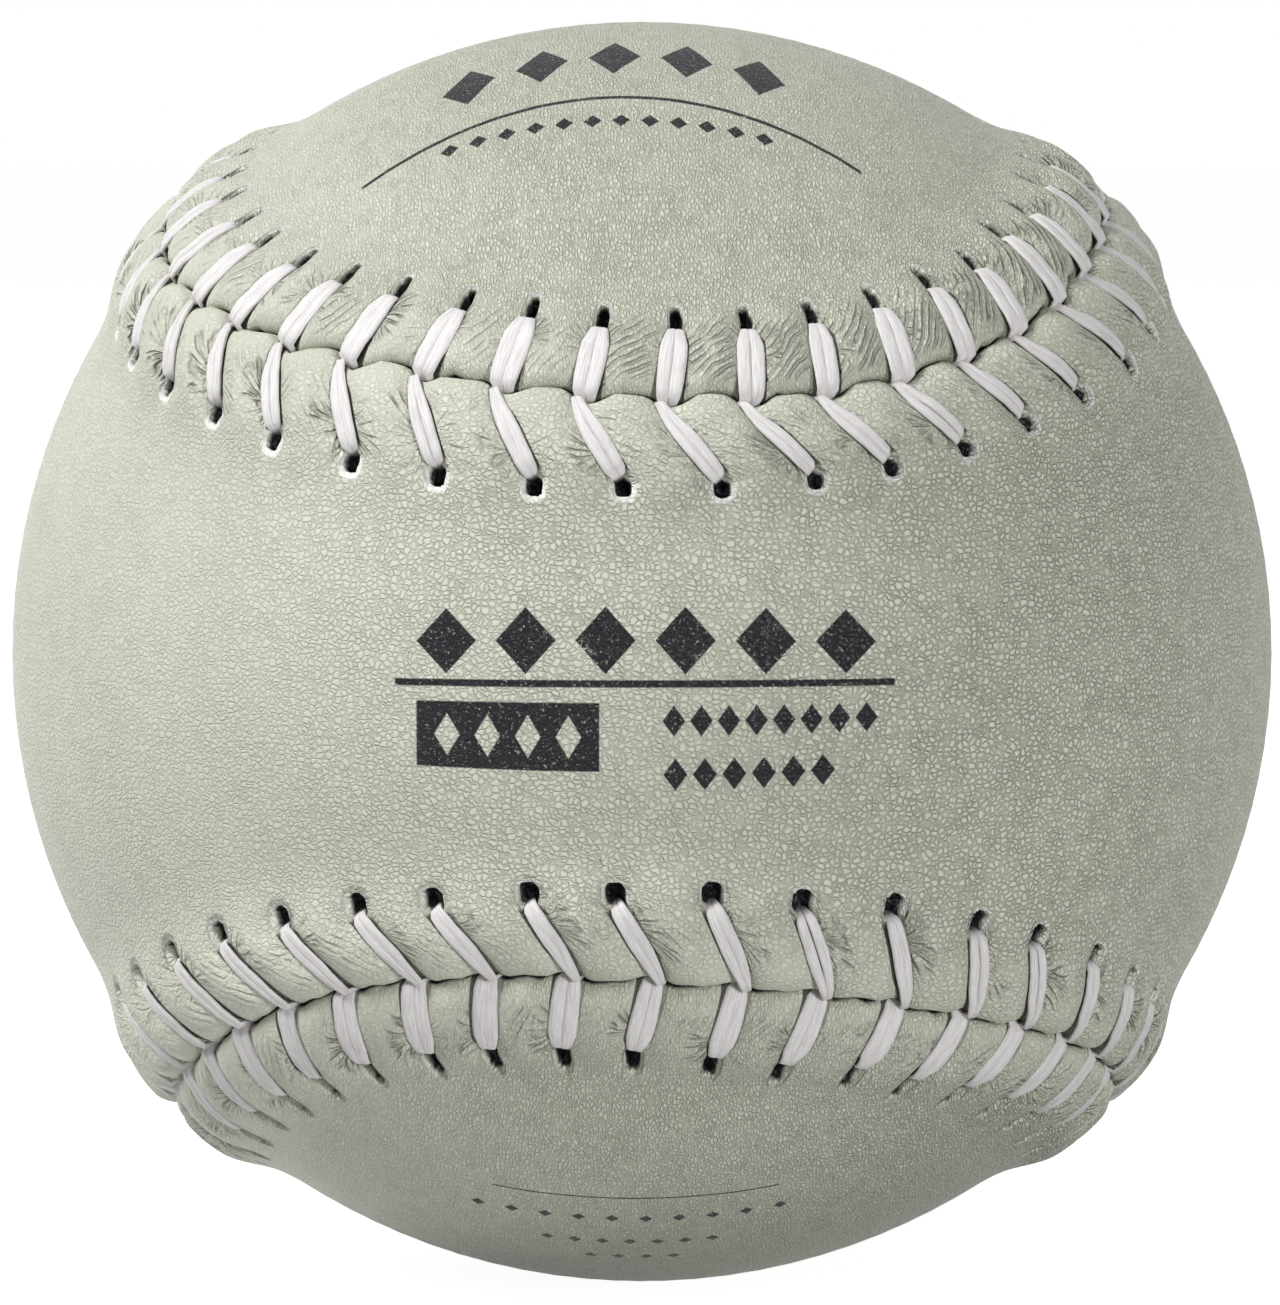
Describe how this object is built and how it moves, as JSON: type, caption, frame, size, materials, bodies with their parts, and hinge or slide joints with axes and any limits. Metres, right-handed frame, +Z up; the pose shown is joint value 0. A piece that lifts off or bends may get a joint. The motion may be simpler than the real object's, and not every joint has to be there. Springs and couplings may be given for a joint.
{
  "type": "softball",
  "caption": "Weighted training softball: rubber-covered iron core, wound yarn, cement coat, two figure-of-eight leather covers with a raised seam and herringbone stitches.",
  "frame": {"origin": "centre of the ball", "axes": "+Z up; the waist of the front cover faces -Y, with +X to the right of someone who looks at it"},
  "size_m": [0.089, 0.089, 0.089],
  "materials": {
    "iron": "rough cast",
    "shell_rubber": "matte",
    "jacket_rubber": "matte",
    "yarn_grey": "wound yarn",
    "yarn_white": "wound yarn",
    "cement": "satin",
    "leather": "fine pebbled grain",
    "thread": "waxed"
  },
  "bodies": {
    "root": {"weight_ball": "iron", "core_shell_upper": "shell_rubber", "core_shell_lower": "shell_rubber", "core_gasket": "jacket_rubber", "core_jacket": "jacket_rubber", "winding_first": "yarn_grey", "winding_second": "yarn_white", "winding_third": "yarn_grey", "winding_finish": "yarn_white", "cement_coat": "cement", "cover_front": "leather", "cover_back": "leather", "thread_one": "thread", "thread_two": "thread"}
  },
  "joints": []
}
